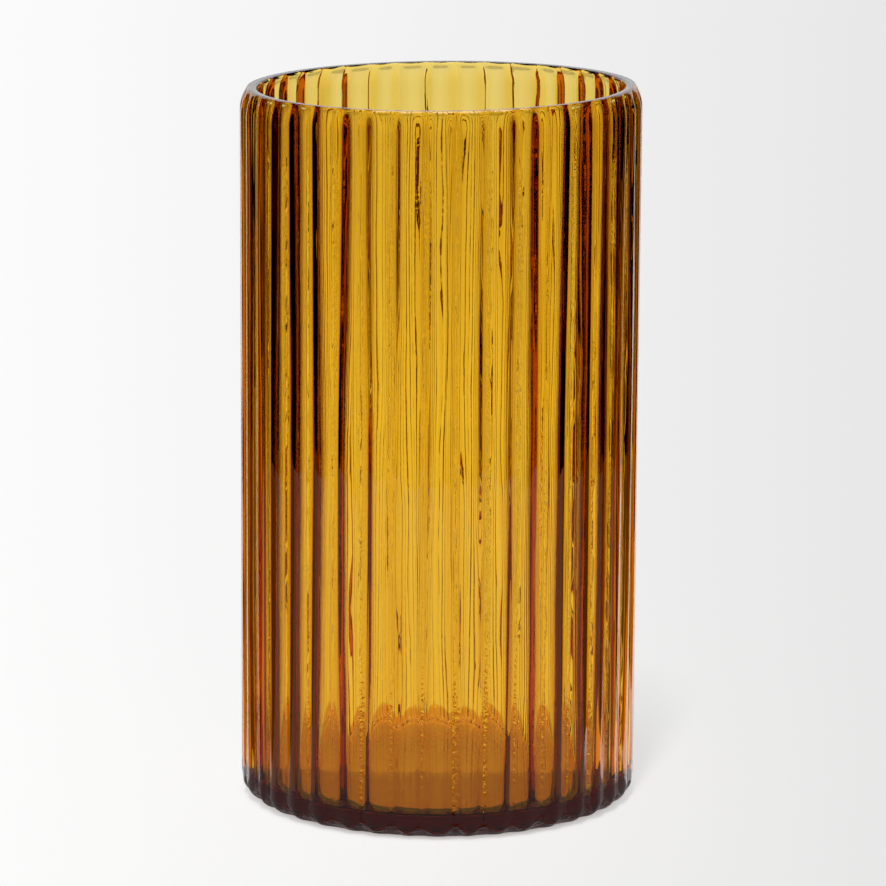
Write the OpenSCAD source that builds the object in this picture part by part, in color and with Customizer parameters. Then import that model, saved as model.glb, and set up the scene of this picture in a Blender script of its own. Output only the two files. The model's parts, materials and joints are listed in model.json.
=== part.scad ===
// Tall ribbed cylinder vase, blown in one piece of amber glass.
// The vase stands on z = 0 with its axis on Z, and its mouth faces +Z.
// Round ribs run the whole height and meet in shallow grooves. At the top they round in to
// a flat ground rim, and at the bottom they round under to a flat resting ring.
// Behind every rib a round flute runs down the inside, so the wall is pleated like a curtain.
// The one body of glass is split where the glassworker's steps meet: the thick gathered base,
// the ribbed wall and the ground rim. The three regions meet face to face and share one bore.

/* [Vase] */
// Height from the table to the flat of the rim
height = 270; // [200:1:320]
// Diameter over the crests of the ribs
crest_d = 150; // [120:1:180]
// Thickness of the wall from the bottom of a groove to the ridge behind it
groove_wall = 5.4; // [4:0.1:6]

/* [Ribs] */
// Number of ribs round the wall
rib_count = 40; // [30:1:50]
// How far each groove is sunk below the crests
groove_depth = 1.0; // [0.6:0.1:1.6]
// How far each inner flute is sunk behind the ridges between the flutes
flute_depth = 2.4; // [1:0.1:2.6]

/* [Rim] */
// Height of the rim region, from the wall to the flat
rim_h = 16; // [15:1:24]
// Radius of the shoulder that brings the ribs in to the flat
shoulder_r = 16; // [12:0.5:20]
// How far the flat's outer edge lies inside the grooves
rim_inset = 1.7; // [1:0.1:2.2]
// Bevel that softens the inner edge of the flat
rim_bevel = 0.5; // [0.2:0.1:1]
// Height of the plain round band inside the mouth, above the flutes
mouth_band_h = 3.5; // [2:0.5:6]
// Radius of the arc that runs each flute out under the plain band
runout_r = 12; // [8:1:14]

/* [Base] */
// Height of the base region, from the table to the wall
base_h = 16; // [15:1:30]
// Thickness of the floor
floor_t = 7.5; // [5:0.5:10]
// Radius of the round outer edge under the ribs
heel_r = 6.5; // [4:0.5:9]
// Radius of the inside corner between floor and wall
corner_r = 3; // [1.5:0.5:4.5]
// Radius of the shallow hollow under the base
hollow_r = 54; // [35:1:56]
// Depth of the shallow hollow at the middle
hollow_depth = 1.5; // [0.5:0.1:2.5]

/* [Hidden] */
$fn = 96;

crest_r = crest_d / 2;
groove_r = crest_r - groove_depth;
bore_r = groove_r - groove_wall;
flute_r = bore_r + flute_depth;
rim_z = height - rim_h;

// A lobe's round face passes through its crest and through the valleys on both sides.
rib_half_angle = 180 / rib_count;
function face_r(crest, valley) =
    (pow(crest - valley * cos(rib_half_angle), 2) + pow(valley * sin(rib_half_angle), 2))
    / (2 * (crest - valley * cos(rib_half_angle)));
// The front of the vase looks along -Y.
front = -90;

// The shoulder and the heel are cut by rings that stand this far outside the crests,
// so that each crosses the ribs at an angle and the curve runs out on the crest.
swell = 0.15;
// Cutters run this far past the glass.
past = 1;

flat_outer_r = groove_r - rim_inset;
shoulder_x = crest_r + swell - shoulder_r;
shoulder_drop = sqrt(pow(shoulder_r, 2) - pow(flat_outer_r - shoulder_x, 2));
heel_x = crest_r + swell - heel_r;

// The flutes start at the floor on a round foot that is tangent to the floor,
// and run out at the top on an arc that reaches the bore under the plain band.
foot_r = flute_r + swell - bore_r + corner_r;
runout_x = flute_r + swell - runout_r;
runout_drop = sqrt(pow(runout_r, 2) - pow(bore_r - runout_x, 2));
runout_z = height - mouth_band_h - runout_drop;

// The hollow is a slice of a large sphere, smooth enough to keep its shallow curve.
hollow_sphere_r = (hollow_r * hollow_r + hollow_depth * hollow_depth) / (2 * hollow_depth);
hollow_fn = 1440;

straw = [0.90, 0.80, 0.45];
amber = [0.85, 0.62, 0.15];
brown = [0.45, 0.22, 0.07];

// A lobed outline, filled in to the axis, with one lobe facing the front
module lobed_outline(crest, valley) {
    lobe_r = face_r(crest, valley);
    circle(r = crest - lobe_r);
    for (i = [0 : rib_count - 1])
        rotate(front + i * 2 * rib_half_angle)
            translate([crest - lobe_r, 0])
                circle(r = lobe_r);
}

// A solid length of the ribbed outside, from z = low to z = high
module ribbed_bar(low, high) {
    translate([0, 0, low])
        linear_extrude(height = high - low)
            lobed_outline(crest_r, groove_r);
}

// The space inside the flutes, from z = low to z = high
module fluted_bar(low, high) {
    translate([0, 0, low])
        linear_extrude(height = high - low)
            lobed_outline(flute_r, bore_r);
}

// The plain round bore, from z = low to z = high
module bore(low, high) {
    translate([0, 0, low])
        cylinder(r = bore_r, h = high - low);
}

// Round envelope of the rim: straight below, then the shoulder's arc in to the flat
module rim_envelope() {
    rotate_extrude()
        intersection() {
            translate([0, rim_z - past])
                square([crest_r + past, rim_h + past]);
            union() {
                translate([0, rim_z - past])
                    square([crest_r + swell, rim_h + past - shoulder_drop]);
                translate([0, rim_z - past])
                    square([shoulder_x, rim_h + past]);
                translate([shoulder_x, height - shoulder_drop])
                    circle(r = shoulder_r, $fn = 4 * $fn);
            }
        }
}

// Cone that takes off the sharp inner edge of the flat
module inner_bevel() {
    translate([0, 0, height - rim_bevel])
        cylinder(r1 = bore_r, r2 = bore_r + rim_bevel + past, h = rim_bevel + past);
}

// Round envelope of the flutes inside the rim: straight below, then the arc of the runout
module runout_envelope() {
    rotate_extrude()
        intersection() {
            translate([0, rim_z - past])
                square([flute_r + swell, rim_h + past - mouth_band_h]);
            union() {
                translate([0, rim_z - past])
                    square([flute_r + swell, runout_z - rim_z + past]);
                translate([0, rim_z - past])
                    square([runout_x, rim_h + past]);
                translate([runout_x, runout_z])
                    circle(r = runout_r, $fn = 4 * $fn);
            }
        }
}

// Round envelope of the base: flat underside, then the heel's arc out to the wall
module base_envelope() {
    rotate_extrude()
        union() {
            square([heel_x, base_h + past]);
            translate([0, heel_r])
                square([crest_r + swell, base_h + past - heel_r]);
            intersection() {
                translate([heel_x, heel_r])
                    circle(r = heel_r);
                square([crest_r + swell, heel_r]);
            }
        }
}

// Flat-floored round space: radius r above the floor, with a round inside corner
module floored_space(r, corner) {
    rotate_extrude()
        translate([0, floor_t])
            union() {
                square([r - corner, base_h]);
                translate([0, corner])
                    square([r, base_h]);
                intersection() {
                    translate([r - corner, corner])
                        circle(r = corner);
                    square([r, corner]);
                }
            }
}

// Space inside the base: the round bore, and the feet of the flutes around it
module base_inside() {
    floored_space(bore_r, corner_r);
    intersection() {
        fluted_bar(0, base_h + past);
        floored_space(flute_r + swell, foot_r);
    }
}

// Shallow hollow under the base, which leaves a flat resting ring
module base_hollow() {
    rotate_extrude()
        intersection() {
            translate([0, hollow_depth - hollow_sphere_r])
                circle(r = hollow_sphere_r, $fn = hollow_fn);
            translate([0, -past])
                square([crest_r, hollow_depth + 2 * past]);
        }
}

// Ground flat rim, with the ribs rounding in to it
module rim() {
    color(straw)
        difference() {
            intersection() {
                ribbed_bar(rim_z, height + past);
                rim_envelope();
            }
            bore(rim_z - past, height + past);
            intersection() {
                fluted_bar(rim_z - past, height);
                runout_envelope();
            }
            inner_bevel();
        }
}

// Straight wall with full ribs outside and full flutes inside
module ribbed_wall() {
    color(amber)
        difference() {
            ribbed_bar(base_h, rim_z);
            fluted_bar(base_h - past, rim_z + past);
        }
}

// Thick base with a round heel, a flat floor and a shallow hollow underneath
module base() {
    color(brown)
        difference() {
            intersection() {
                ribbed_bar(-past, base_h);
                base_envelope();
            }
            base_inside();
            base_hollow();
        }
}

rim();
ribbed_wall();
base();
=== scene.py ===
"""Looks for the ribbed amber glass vase: one body of uneven blown glass on a white studio table."""
import json
import math

import bpy
import numpy as np
from mathutils import Matrix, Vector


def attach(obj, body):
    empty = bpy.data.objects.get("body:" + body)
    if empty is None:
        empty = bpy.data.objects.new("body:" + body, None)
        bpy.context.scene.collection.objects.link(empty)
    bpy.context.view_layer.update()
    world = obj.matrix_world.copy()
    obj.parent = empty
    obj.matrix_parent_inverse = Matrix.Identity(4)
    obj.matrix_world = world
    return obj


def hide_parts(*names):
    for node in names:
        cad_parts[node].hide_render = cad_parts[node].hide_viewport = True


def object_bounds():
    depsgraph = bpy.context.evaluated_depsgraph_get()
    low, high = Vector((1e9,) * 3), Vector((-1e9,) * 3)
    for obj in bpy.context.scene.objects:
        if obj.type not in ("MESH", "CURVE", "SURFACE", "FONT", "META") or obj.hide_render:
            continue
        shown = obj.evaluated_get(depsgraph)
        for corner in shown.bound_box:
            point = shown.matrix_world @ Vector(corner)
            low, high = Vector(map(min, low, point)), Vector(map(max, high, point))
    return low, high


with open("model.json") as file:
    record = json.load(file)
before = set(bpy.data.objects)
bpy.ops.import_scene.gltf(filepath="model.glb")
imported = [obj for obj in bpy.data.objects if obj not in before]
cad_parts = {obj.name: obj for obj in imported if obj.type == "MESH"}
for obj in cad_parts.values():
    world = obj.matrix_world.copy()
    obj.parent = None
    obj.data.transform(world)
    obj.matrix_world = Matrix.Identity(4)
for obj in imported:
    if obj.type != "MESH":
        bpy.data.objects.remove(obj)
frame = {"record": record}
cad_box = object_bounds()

MM = 0.001

# --- The vase's dimensions -----------------------------------------------------------------
# The height, the crests and the bore come from the frame; the rest is the CAD's nominal shape.
MOUTH = next(m for m in frame["record"]["mounts"] if m["name"] == "mouth")
HEIGHT = cad_box[1].z
CREST_R = cad_box[1].y
BORE_R = MOUTH["dims"]["r_mm"] * MM
RIB_COUNT = 40
GROOVE_DEPTH = 1.0 * MM
FLUTE_DEPTH = 2.4 * MM
FLOOR_T = 7.5 * MM
CORNER_R = 3.0 * MM
HEEL_R = 6.5 * MM
SHOULDER_R = 16.0 * MM
FLAT_OUTER_R = 72.3 * MM
RIM_EDGE_R = 0.5 * MM
# The flutes start this far below the flat and grow to full depth over this length.
RUNOUT_TOP = 1.0 * MM
RUNOUT_LENGTH = 7.0 * MM
HOLLOW_R = 54.0 * MM
HOLLOW_DEPTH = 1.5 * MM
# How much deeper the grooves get, as a share, where they turn under the heel, and the powers
# of the sine and cosine of the heel's angle by which they come in and deepen.
HEEL_SCALLOP = 2.0
HEEL_FADE_IN = 0.6
HEEL_DEEPEN = 1.5
# Where a rib's and a flute's slope starts and ends, as shares of the pitch from the crest.
RIB_SLOPE = (0.04, 0.46)
FLUTE_SLOPE = (0.05, 0.5)

# --- Fineness of the mesh ------------------------------------------------------------------
STEPS_PER_RIB = 14
# How strongly the steps of a rib crowd towards its two grooves.
GROOVE_CROWDING = 0.55
AROUND = RIB_COUNT * STEPS_PER_RIB
PITCH = 2 * math.pi / RIB_COUNT
WALL_ROWS = 84
INSIDE_ROWS = 25
# The level surfaces close on their middle point from a ring of this radius.
INNERMOST_R = 9.0 * MM

# --- Unevenness of the hand-blown glass ----------------------------------------------------
RNG = np.random.default_rng(7)
RIM_TILT = 0.9 * MM
# Shares of a rib's width and depth.
SPACING_WOBBLE = 0.06
DEPTH_WOBBLE = 0.22
FLUTE_WOBBLE = 0.088
# A fine line is pressed in along each groove, and broken marks go deeper: the rarity is how
# far a random draw must lie above the mean to make one, and the side is the share of the
# depth that the vertex beside the line takes.
CREASE_LINE = 0.75 * MM
CREASE_DEPTH = 0.70 * MM
CREASE_RARITY = 0.3
CREASE_MOST = 1.4
CREASE_SIDE = 0.35
INSIDE_WAVE = 0.07 * MM
WAVE_COUNT = 14
# The fine relief lies between these depths below the crests, and ends before the inside surface.
CHILL_START = 0.9 * MM
CHILL_END = 1.8 * MM
CHILL_DEEPEST = 3.4 * MM
CHILL_SCALE = 600.0
CHILL_RELIEF = 1.6 * MM

# --- The glass -----------------------------------------------------------------------------
GLASS_IOR = 1.5
GROUND_ROUGHNESS = 0.4
AMBER = (0.938, 0.784, 0.0)
AMBER_DENSITY = 450.0


def around_angles():
    """Angles round the vase, closer together near the grooves, and each one's place in its rib."""
    u = np.linspace(-0.5, 0.5, STEPS_PER_RIB, endpoint=False)
    place = 0.5 * (GROOVE_CROWDING * np.sin(u * math.pi) + (2 - 2 * GROOVE_CROWDING) * u)
    ribs = np.arange(RIB_COUNT) * PITCH - math.pi / 2
    return (ribs[:, None] + place[None, :] * PITCH).ravel(), np.tile(place, RIB_COUNT)


ANGLES, PLACES = around_angles()


def slow_noise(low_mode, high_mode, z_len):
    """A smooth random field round and up the vase, about -1 to 1, as a function of height."""
    modes = RNG.integers(low_mode, high_mode, WAVE_COUNT)
    phases = RNG.uniform(0, 2 * math.pi, WAVE_COUNT)
    climbs = RNG.normal(0, 2 * math.pi / z_len, WAVE_COUNT)

    def at(z):
        waves = np.cos(modes[:, None] * ANGLES[None, :] + (phases + climbs * z)[:, None])
        return waves.sum(axis=0) / math.sqrt(WAVE_COUNT)
    return at


SHIFT = slow_noise(3, 30, 0.5)
INNER_SHIFT = slow_noise(3, 30, 0.4)
RIB_DEPTH = slow_noise(3, 28, 0.35)
FLUTE_SWELL = slow_noise(3, 28, 0.3)
WAVES = slow_noise(20, 70, 0.05)


def pleat(depth, start, end, place):
    """How far a soft pleat sinks below its crest, from round top to round valley."""
    t = np.clip((np.abs(place - np.round(place)) - start) / (end - start), 0, 1)
    return depth * t * t * (3 - 2 * t)


def creases(rows):
    """Broken chill lines along the grooves: how far each vertex is pressed in, row by row."""
    marks = RNG.normal(0, 1, (rows + 2, RIB_COUNT))
    marks = 0.5 * marks[:-2] + marks[1:-1] + 0.5 * marks[2:]
    marks = CREASE_LINE + np.clip(marks - CREASE_RARITY, 0, CREASE_MOST) * CREASE_DEPTH
    strength = np.clip(RNG.normal(0.9, 0.25, RIB_COUNT), 0.4, 1.4)
    field = np.zeros((rows, AROUND))
    field[:, ::STEPS_PER_RIB] = marks * strength
    field[:, 1::STEPS_PER_RIB] = CREASE_SIDE * marks * strength
    return field


def rib_sink(z):
    """Depth of the outside below the crests at a height, with each rib a little different."""
    place = PLACES + SPACING_WOBBLE * SHIFT(z)
    sink = pleat(GROOVE_DEPTH, *RIB_SLOPE, place)
    return sink * (1 + DEPTH_WOBBLE * RIB_DEPTH(z))


def flute_r(z):
    """Radius of the fluted inside at a height."""
    place = PLACES + SPACING_WOBBLE * SHIFT(z) + 0.5 * SPACING_WOBBLE * INNER_SHIFT(z)
    sink = pleat(FLUTE_DEPTH, *FLUTE_SLOPE, place) * (1 + FLUTE_WOBBLE * FLUTE_SWELL(z))
    return BORE_R + FLUTE_DEPTH - sink + INSIDE_WAVE * WAVES(z)


def ring(radius, z):
    """One closed row of vertices: its radius at every angle and its height."""
    return np.broadcast_to(radius, AROUND).astype(float), np.full(AROUND, float(z))


def heel_rings():
    """Under the base and round the heel, where the grooves deepen as the glass turns under."""
    rings = []
    sphere = (HOLLOW_R ** 2 + HOLLOW_DEPTH ** 2) / (2 * HOLLOW_DEPTH)
    for r in np.linspace(INNERMOST_R, HOLLOW_R, 6):
        rings.append(ring(r, HOLLOW_DEPTH - sphere + math.sqrt(sphere ** 2 - r * r)))
    heel_x = CREST_R - HEEL_R
    rings.append(ring((HOLLOW_R + heel_x) / 2, 0.0))
    for a in np.linspace(0, math.pi / 2, 9):
        z = HEEL_R * (1 - math.cos(a))
        share = math.sin(a) ** HEEL_FADE_IN * (1 + HEEL_SCALLOP * math.cos(a) ** HEEL_DEEPEN)
        rings.append(ring(heel_x + HEEL_R * math.sin(a) - rib_sink(z) * share, z))
    return rings


def shoulder_rings():
    """The ribbed wall, up to where the ribs round in and fade out under the flat rim."""
    rings = []
    drop = math.sqrt(SHOULDER_R ** 2 - (FLAT_OUTER_R - CREST_R + SHOULDER_R) ** 2)
    heights = np.linspace(HEEL_R, HEIGHT - drop, WALL_ROWS)[1:]
    top = math.asin(drop / SHOULDER_R)
    turns = np.linspace(0, top, 9)[1:]
    marks = creases(len(heights) + len(turns))
    for z, crease in zip(heights, marks):
        rings.append(ring(CREST_R - rib_sink(z) - crease, z))
    for a, crease in zip(turns, marks[len(heights):]):
        r = CREST_R - SHOULDER_R * (1 - math.cos(a))
        z = HEIGHT - drop + SHOULDER_R * math.sin(a)
        rings.append(ring(r - (rib_sink(z) + crease) * (1 - (a / top) ** 3), z))
    return rings


def inside_rings():
    """The flat rim, the fluted inside and the floor."""
    rings = [ring((FLAT_OUTER_R + BORE_R) / 2, HEIGHT)]
    for a in np.linspace(math.pi / 2, math.pi, 3):
        r = BORE_R + RIM_EDGE_R + RIM_EDGE_R * math.cos(a)
        rings.append(ring(r, HEIGHT - RIM_EDGE_R + RIM_EDGE_R * math.sin(a)))
    foot = CORNER_R + FLUTE_DEPTH
    runout_end = RUNOUT_TOP + RUNOUT_LENGTH
    depths = np.concatenate([np.linspace(RUNOUT_TOP, runout_end, 8),
                             np.linspace(runout_end, HEIGHT - FLOOR_T - foot, INSIDE_ROWS)[1:]])
    for depth in depths:
        z = HEIGHT - depth
        fade = min(1.0, max(0.0, (depth - RUNOUT_TOP) / RUNOUT_LENGTH))
        rings.append(ring(BORE_R + (flute_r(z) - BORE_R) * math.sqrt(fade * (2 - fade)), z))
    for a in np.linspace(0, math.pi / 2, 8)[1:]:
        z = FLOOR_T + foot * (1 - math.sin(a))
        wall = flute_r(z)
        rings.append(ring(wall - (CORNER_R + wall - BORE_R) * (1 - math.cos(a)), z))
    for r in np.linspace(BORE_R - CORNER_R, INNERMOST_R, 7)[1:]:
        rings.append(ring(r, FLOOR_T))
    return rings


def rim_tilt(r, z):
    """The rim is ground slightly out of level: its right side stands a little higher."""
    near_rim = (z / HEIGHT) ** 8
    return RIM_TILT * r * np.cos(ANGLES) / CREST_R * near_rim


def build_vase():
    """One closed skin, from the middle of the underside, up outside, down inside, to the floor."""
    rings = heel_rings() + shoulder_rings() + inside_rings()
    verts = [np.stack([r * np.cos(ANGLES), r * np.sin(ANGLES), z + rim_tilt(r, z)], axis=1)
             for r, z in rings]
    verts = np.concatenate(verts + [np.array([[0, 0, HOLLOW_DEPTH], [0, 0, FLOOR_T]])])
    low_centre, high_centre = len(verts) - 2, len(verts) - 1
    here = np.arange(AROUND)
    nxt = np.roll(here, -1)
    faces = []
    for k in range(len(rings) - 1):
        a, b = k * AROUND, (k + 1) * AROUND
        faces += np.stack([a + here, a + nxt, b + nxt, b + here], axis=1).tolist()
    last = (len(rings) - 1) * AROUND
    faces += [[low_centre, int(n), int(i)] for i, n in zip(here, nxt)]
    faces += [[high_centre, int(last + i), int(last + n)] for i, n in zip(here, nxt)]
    mesh = bpy.data.meshes.new("vase_glass")
    mesh.from_pydata(verts.tolist(), [], faces)
    mesh.shade_smooth()
    mesh.validate()
    obj = bpy.data.objects.new("vase_glass", mesh)
    bpy.context.scene.collection.objects.link(obj)
    return obj


class Shader:
    """A material's node tree, with short ways to add what this scene needs."""

    def __init__(self, name):
        self.material = bpy.data.materials.new(name)
        self.material.use_nodes = True
        self.nodes = self.material.node_tree.nodes
        self.links = self.material.node_tree.links
        self.output = self.nodes["Material Output"]
        self.principled = self.nodes["Principled BSDF"]
        self.where = None
        self.axes = None

    def add(self, kind, **values):
        """A node with some inputs set, each either to a value or to another node's output."""
        node = self.nodes.new(kind)
        for name, value in values.items():
            self.put(node.inputs[name.replace("_", " ")], value)
        return node

    def put(self, slot, value):
        if isinstance(value, bpy.types.NodeSocket):
            self.links.new(value, slot)
        else:
            slot.default_value = value

    def place(self):
        """Looks up where the shaded point is, as a position and as x, y and z."""
        self.where = self.add("ShaderNodeNewGeometry").outputs["Position"]
        self.axes = self.add("ShaderNodeSeparateXYZ", Vector=self.where).outputs

    def math(self, operation, *values):
        node = self.nodes.new("ShaderNodeMath")
        node.operation = operation
        for slot, value in zip(node.inputs, values):
            self.put(slot, value)
        return node.outputs[0]

    def from_axis(self):
        """Distance of the shaded point from the vase's axis."""
        flat = self.add("ShaderNodeCombineXYZ", X=self.axes["X"], Y=self.axes["Y"])
        reach = self.nodes.new("ShaderNodeVectorMath")
        reach.operation = "LENGTH"
        self.links.new(flat.outputs[0], reach.inputs[0])
        return reach.outputs["Value"]

    def smooth_step(self, value, start, end, low, high):
        """Goes smoothly from low, where the value is at start, to high at end."""
        step = self.add("ShaderNodeMapRange", Value=value, From_Min=start, From_Max=end)
        self.put(step.inputs["To Min"], low)
        self.put(step.inputs["To Max"], high)
        step.interpolation_type = "SMOOTHSTEP"
        return step.outputs["Result"]

    def glow_only(self):
        """Takes the Principled shader out and returns a glow in its place."""
        self.nodes.remove(self.principled)
        glow = self.add("ShaderNodeEmission")
        self.links.new(glow.outputs[0], self.output.inputs["Surface"])
        return glow


def chill_marks(shader):
    """Fine relief of the chilled glass in the deepest part of the outer grooves."""
    r = shader.from_axis()
    groove = shader.smooth_step(r, CREST_R - CHILL_END, CREST_R - CHILL_START, 1.0, 0.0)
    outside = shader.math("GREATER_THAN", r, CREST_R - CHILL_DEEPEST)
    below = shader.smooth_step(shader.axes["Z"], HEIGHT - 2 * SHOULDER_R, HEIGHT - SHOULDER_R, 1.0, 0.0)
    speckle = shader.add("ShaderNodeTexNoise", Vector=shader.where, Scale=CHILL_SCALE, Detail=2.0)
    wall = shader.math("MULTIPLY", outside, below)
    relief = shader.math("MULTIPLY", speckle.outputs[0], shader.math("MULTIPLY", groove, wall))
    bump = shader.add("ShaderNodeBump", Strength=1.0, Distance=CHILL_RELIEF, Height=relief)
    return bump.outputs["Normal"]


def blown_glass():
    """Clear amber glass, polished everywhere but on its ground underside."""
    shader = Shader("blown_glass")
    shader.place()
    under = shader.math("LESS_THAN", shader.axes["Z"], HOLLOW_DEPTH + 0.1 * MM)
    surface = shader.principled.inputs
    surface["Base Color"].default_value = (1, 1, 1, 1)
    surface["IOR"].default_value = GLASS_IOR
    surface["Transmission Weight"].default_value = 1.0
    shader.put(surface["Roughness"], shader.math("MULTIPLY", under, GROUND_ROUGHNESS))
    shader.put(surface["Normal"], chill_marks(shader))
    volume = shader.add("ShaderNodeVolumeAbsorption", Color=(*AMBER, 1), Density=AMBER_DENSITY)
    shader.put(shader.output.inputs["Volume"], volume.outputs["Volume"])
    return shader.material


# --- The studio ----------------------------------------------------------------------------
CAMERA_Y = -1.7207
CAMERA_Z = 0.4967
CAMERA_LENS = 189.06
CAMERA_PITCH = math.radians(11.903)
CAMERA_YAW = math.radians(0.0476)
CAMERA_ROLL = math.radians(0.324)

# The floor glows this bright under the vase, and by this much less where x is as large as the
# distance from the camera, but it stops changing at a small share of that: a painted fall-off of
# light from left to right. The lamps give part of the brightness, so that the vase can throw a shadow.
FLOOR_R = 14.0
FLOOR_LIGHT = 0.885
FLOOR_FALL = 0.84
FLOOR_FALL_SIDE = 0.12
FLOOR_NEAREST = 1.0
LAMP_SHARE = 0.145
MATT_WHITE = 0.8
BEHIND_LIGHT = 0.88
# The contact shadow is painted into the floor's glow: it runs from this far inside the crests to this far
# outside.
CONTACT_IN = 15 * MM
CONTACT_OUT = 2 * MM
CONTACT_DARK = 0.03
# The lamps stand in a row over the vase, each tilted further back than the last.
LAMPS = 5
LAMP_TURN = math.radians(-12)
LAMP_FIRST_TILT = 9
LAMP_NEXT_TILT = 4.5
LAMP_WIDTH = math.radians(4)

# Seen through the glass: a sheet on the table and a tent standing on its far edge.
TENT_R = 0.68
TENT_HALF_ANGLE = math.radians(35)
TENT_STEPS = 48
TENT_H = 0.205
SHEET_LEFT = -0.10
SHEET_RIGHT = 0.14
SHEET_LIGHT = 1.09
TENT_LIGHT = 1.13
TENT_FALL = 1.3
TENT_GAIN = 0.08
TENT_NEAREST = 0.12
TENT_DIMMEST = 0.35
TENT_GREY = (0.60, 0.60, 0.60)
UPPER_LOW = 0.30
UPPER_HIGH = 0.80
# A white sheet and card stand in front as well, where they show from behind through the glass.
FRONT_HALF_ANGLE = math.radians(60)
FRONT_H = 0.32
FRONT_SHEET_R = 0.20
FRONT_WHITE = (0.80, 0.80, 0.80)
# The table in front and to the sides, the amber light that the vase throws under itself, and the painted
# contact shadow under its foot.
TABLE_BROWN = (0.13, 0.09, 0.05)
TABLE_GREY = (0.32, 0.32, 0.32)
SHADE_BACK = (0.92, 0.60, 0.11)
SHADE_FRONT = (0.55, 0.29, 0.08)
SHADE_EDGE = (0.01, 0.01, 0.01)
SHADE_HALF_W = 0.0685
SHADE_LENGTH = 0.114
OVERHEAD = (4.5, 4.3, 4.0)
OVERHEAD_R = 0.45
OVERHEAD_Z = 1.3
# The flat surfaces lie a layer or less apart, from the floor and the back shade down through
# the front shade, the foot's painted contact shadow and the sheet to the table.
LAYER = 0.1 * MM


def emission(name, color):
    """A surface that glows evenly in one colour."""
    shader = Shader(name)
    shader.glow_only().inputs["Color"].default_value = (*color, 1)
    return shader.material


def tent_white(name, middle):
    """White light that grows a little towards both sides and falls off with height."""
    shader = Shader(name)
    glow = shader.glow_only()
    shader.place()
    slant = shader.math("DIVIDE", shader.axes["X"], shader.math("MAXIMUM", shader.axes["Y"], TENT_NEAREST))
    square = shader.math("MULTIPLY", slant, slant)
    light = shader.math("MULTIPLY_ADD", square, TENT_GAIN, middle)
    rise = shader.math("MINIMUM", shader.axes["Z"], TENT_H)
    light = shader.math("MULTIPLY_ADD", rise, -TENT_FALL, light)
    shader.put(glow.inputs["Strength"], shader.math("MAXIMUM", light, TENT_DIMMEST))
    return shader.material


def floor_white():
    """Pale grey glow with a painted fall-off of light from left to right and a painted contact shadow
    where the vase touches it.
    """
    shader = Shader("floor_white")
    glow = shader.glow_only()
    shader.place()
    # Painted fall-off of light: the glow dims from left to right.
    away = shader.math("SUBTRACT", shader.axes["Y"], CAMERA_Y)
    side = shader.math("DIVIDE", shader.axes["X"], shader.math("MAXIMUM", away, FLOOR_NEAREST))
    side = shader.math("MAXIMUM", side, -FLOOR_FALL_SIDE)
    side = shader.math("MINIMUM", side, FLOOR_FALL_SIDE)
    light = shader.math("MULTIPLY_ADD", side, -FLOOR_FALL, FLOOR_LIGHT - LAMP_SHARE)
    # Painted contact shadow: the glow darkens towards the vase's foot.
    r = shader.from_axis()
    contact = shader.smooth_step(r, CREST_R - CONTACT_IN, CREST_R + CONTACT_OUT, CONTACT_DARK, 1.0)
    shader.put(glow.inputs["Strength"], shader.math("MULTIPLY", light, contact))
    matt = shader.add("ShaderNodeBsdfDiffuse", Color=(MATT_WHITE, MATT_WHITE, MATT_WHITE, 1))
    both = shader.nodes.new("ShaderNodeAddShader")
    shader.put(both.inputs[0], glow.outputs[0])
    shader.put(both.inputs[1], matt.outputs[0])
    shader.put(shader.output.inputs["Surface"], both.outputs[0])
    return shader.material


def stage_mesh(name, verts, faces, mat, seen_by):
    """A stage surface that only the camera sees, or only the glass, or one half of what glass does."""
    mesh = bpy.data.meshes.new(name)
    mesh.from_pydata(verts, [], faces)
    mesh.materials.append(mat)
    obj = bpy.data.objects.new(name, mesh)
    bpy.context.scene.collection.objects.link(obj)
    obj.visible_camera = seen_by == "camera"
    obj.visible_diffuse = False
    obj.visible_shadow = False
    obj.visible_glossy = seen_by in ("glass", "reflection")
    obj.visible_transmission = seen_by in ("glass", "refraction")


def arc(r_x, r_y, z, start, end, steps):
    """Points along part of an ellipse round the vase's axis, with both ends."""
    return [(r_x * math.cos(t), r_y * math.sin(t), z) for t in np.linspace(start, end, steps + 1)]


def flat_card(name, outline, mat, seen_by):
    stage_mesh(name, outline, [tuple(range(len(outline)))], mat, seen_by)


def disc(name, r, z, mat, seen_by):
    flat_card(name, arc(r, r, z, 0, 2 * math.pi, 256)[:-1], mat, seen_by)


def band(name, one_edge, other_edge, mat, seen_by):
    """A card between two edges that have a point each at every step."""
    count = len(one_edge)
    faces = [(k, k + 1, count + k + 1, count + k) for k in range(count - 1)]
    stage_mesh(name, one_edge + other_edge, faces, mat, seen_by)


def tent_arc(z):
    """The far edge of the sheet at a height, from right to left behind the vase."""
    middle = math.pi / 2
    return arc(TENT_R, TENT_R, z, middle - TENT_HALF_ANGLE, middle + TENT_HALF_ANGLE, TENT_STEPS)


def front_arc(r, z):
    """An arc round the front of the vase, from left to right."""
    middle = -math.pi / 2
    return arc(r, r, z, middle - FRONT_HALF_ANGLE, middle + FRONT_HALF_ANGLE, TENT_STEPS)


def build_floor():
    """The floor, the tinted light on it under the vase and the painted contact shadow under the foot."""
    disc("floor", FLOOR_R, -LAYER, floor_white(), "camera")
    # Painted contact shadow: a near-black disc under the foot ring, seen only through the glass.
    disc("foot_contact_shadow", CREST_R - HEEL_R, -2 * LAYER, emission("contact_shadow_black", SHADE_EDGE), "glass")
    disc("vase_shade", HOLLOW_R + 2 * MM, -1.5 * LAYER, emission("amber_shade", SHADE_FRONT), "glass")
    behind = arc(SHADE_HALF_W, SHADE_LENGTH, -LAYER, 0, math.pi, 64)
    flat_card("vase_shade_back", behind, emission("amber_shade_back", SHADE_BACK), "glass")


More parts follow.
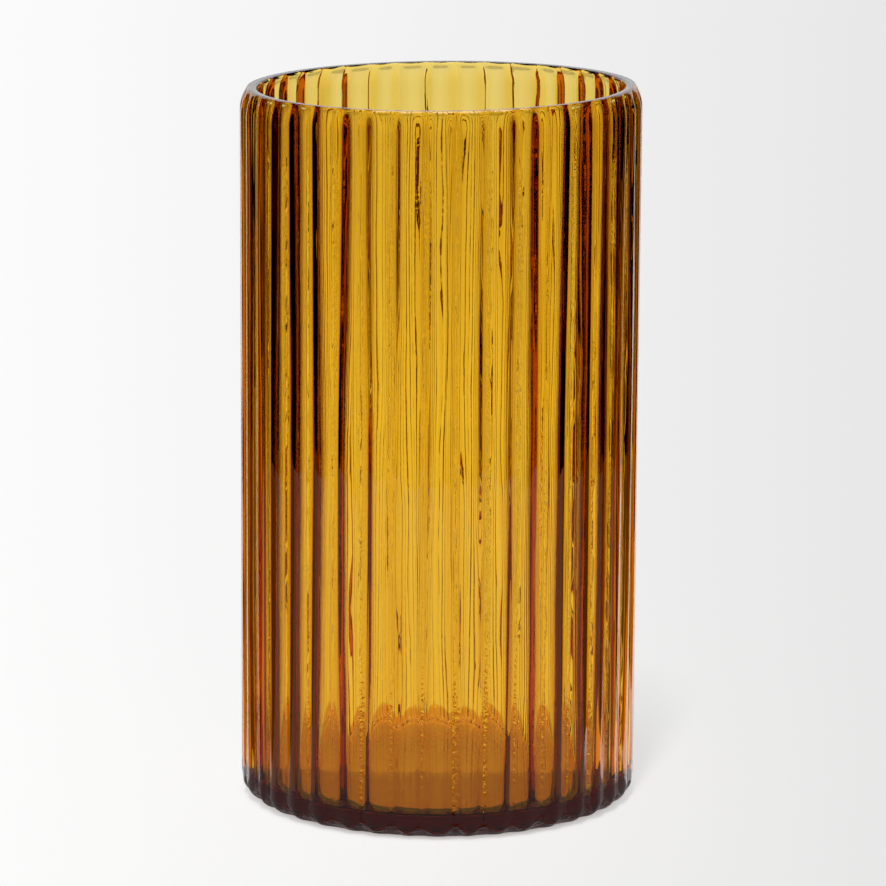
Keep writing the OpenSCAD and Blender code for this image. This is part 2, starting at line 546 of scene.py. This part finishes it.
def build_surroundings():
    """What shows in the glass: a lit sheet and tent behind, a dim table and a softbox overhead."""
    sheet_z = -3 * LAYER
    corners = [(SHEET_LEFT, 0, sheet_z), (SHEET_RIGHT, 0, sheet_z)]
    flat_card("sheet", corners + tent_arc(sheet_z), tent_white("sheet_white", SHEET_LIGHT), "glass")
    white = tent_white("tent_white", TENT_LIGHT)
    grey = emission("tent_grey", TENT_GREY)
    band("tent", tent_arc(sheet_z), tent_arc(TENT_H), white, "glass")
    band("middle", tent_arc(TENT_H), tent_arc(UPPER_LOW), grey, "glass")
    band("upper", tent_arc(UPPER_LOW), tent_arc(UPPER_HIGH), white, "glass")
    disc("dim_table", TENT_R, -4 * LAYER, emission("table_brown", TABLE_BROWN), "refraction")
    front = arc(TENT_R, TENT_R, -4 * LAYER, math.pi, 2 * math.pi, 64)
    flat_card("grey_table", front, emission("table_grey", TABLE_GREY), "reflection")
    disc("overhead", OVERHEAD_R, OVERHEAD_Z, emission("overhead_white", OVERHEAD), "reflection")
    front_white = emission("front_white", FRONT_WHITE)
    foot = front_arc(TENT_R, sheet_z)
    band("front_tent", foot, front_arc(TENT_R, FRONT_H), front_white, "refraction")
    band("front_sheet", front_arc(FRONT_SHEET_R, sheet_z), foot, front_white, "refraction")


def build_lamps():
    """A row of small lamps that throws the soft shadow behind the vase, to the right."""
    for k in range(LAMPS):
        tilt = math.radians(LAMP_FIRST_TILT + LAMP_NEXT_TILT * k)
        sun = bpy.data.lights.new(f"key_{k}", "SUN")
        sun.energy = LAMP_SHARE / LAMPS * math.pi / MATT_WHITE / math.cos(tilt)
        sun.angle = LAMP_WIDTH
        key = bpy.data.objects.new(f"key_{k}", sun)
        bpy.context.scene.collection.objects.link(key)
        key.matrix_world = Matrix.Rotation(LAMP_TURN, 4, "Z") @ Matrix.Rotation(tilt, 4, "X")
        key.visible_glossy = False
        key.visible_transmission = False


def build_world():
    """A plain pale backdrop that only the camera sees."""
    world = bpy.data.worlds.new("studio")
    bpy.context.scene.world = world
    world.use_nodes = True
    sky = world.node_tree.nodes["Background"]
    sky.inputs["Color"].default_value = (BEHIND_LIGHT, BEHIND_LIGHT, BEHIND_LIGHT, 1)
    sky.inputs["Strength"].default_value = 1.0
    world.cycles_visibility.diffuse = False
    world.cycles_visibility.transmission = False
    world.cycles_visibility.glossy = False


def set_light_paths():
    """Plain colours, and enough bounces for light to pass all the walls of the glass."""
    bpy.context.scene.view_settings.view_transform = "Standard"
    cycles = bpy.context.scene.cycles
    cycles.max_bounces = 24
    cycles.transmission_bounces = 24
    cycles.glossy_bounces = 12
    cycles.diffuse_bounces = 1


def make_camera():
    """A long lens, a little above the rim and looking slightly down."""
    data = bpy.data.cameras.new("camera")
    data.sensor_width = 36.0
    data.lens = CAMERA_LENS
    data.clip_end = 50
    cam = bpy.data.objects.new("camera", data)
    bpy.context.scene.collection.objects.link(cam)
    cam.matrix_world = (Matrix.Translation((0, CAMERA_Y, CAMERA_Z))
                        @ Matrix.Rotation(-CAMERA_YAW, 4, "Z")
                        @ Matrix.Rotation(math.pi / 2 - CAMERA_PITCH, 4, "X")
                        @ Matrix.Rotation(CAMERA_ROLL, 4, "Z"))
    bpy.context.scene.camera = cam


vase = build_vase()
vase.data.materials.append(blown_glass())
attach(vase, "root")
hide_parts("rim", "ribbed_wall", "base")
build_floor()
build_surroundings()
build_lamps()
build_world()
set_light_paths()
make_camera()
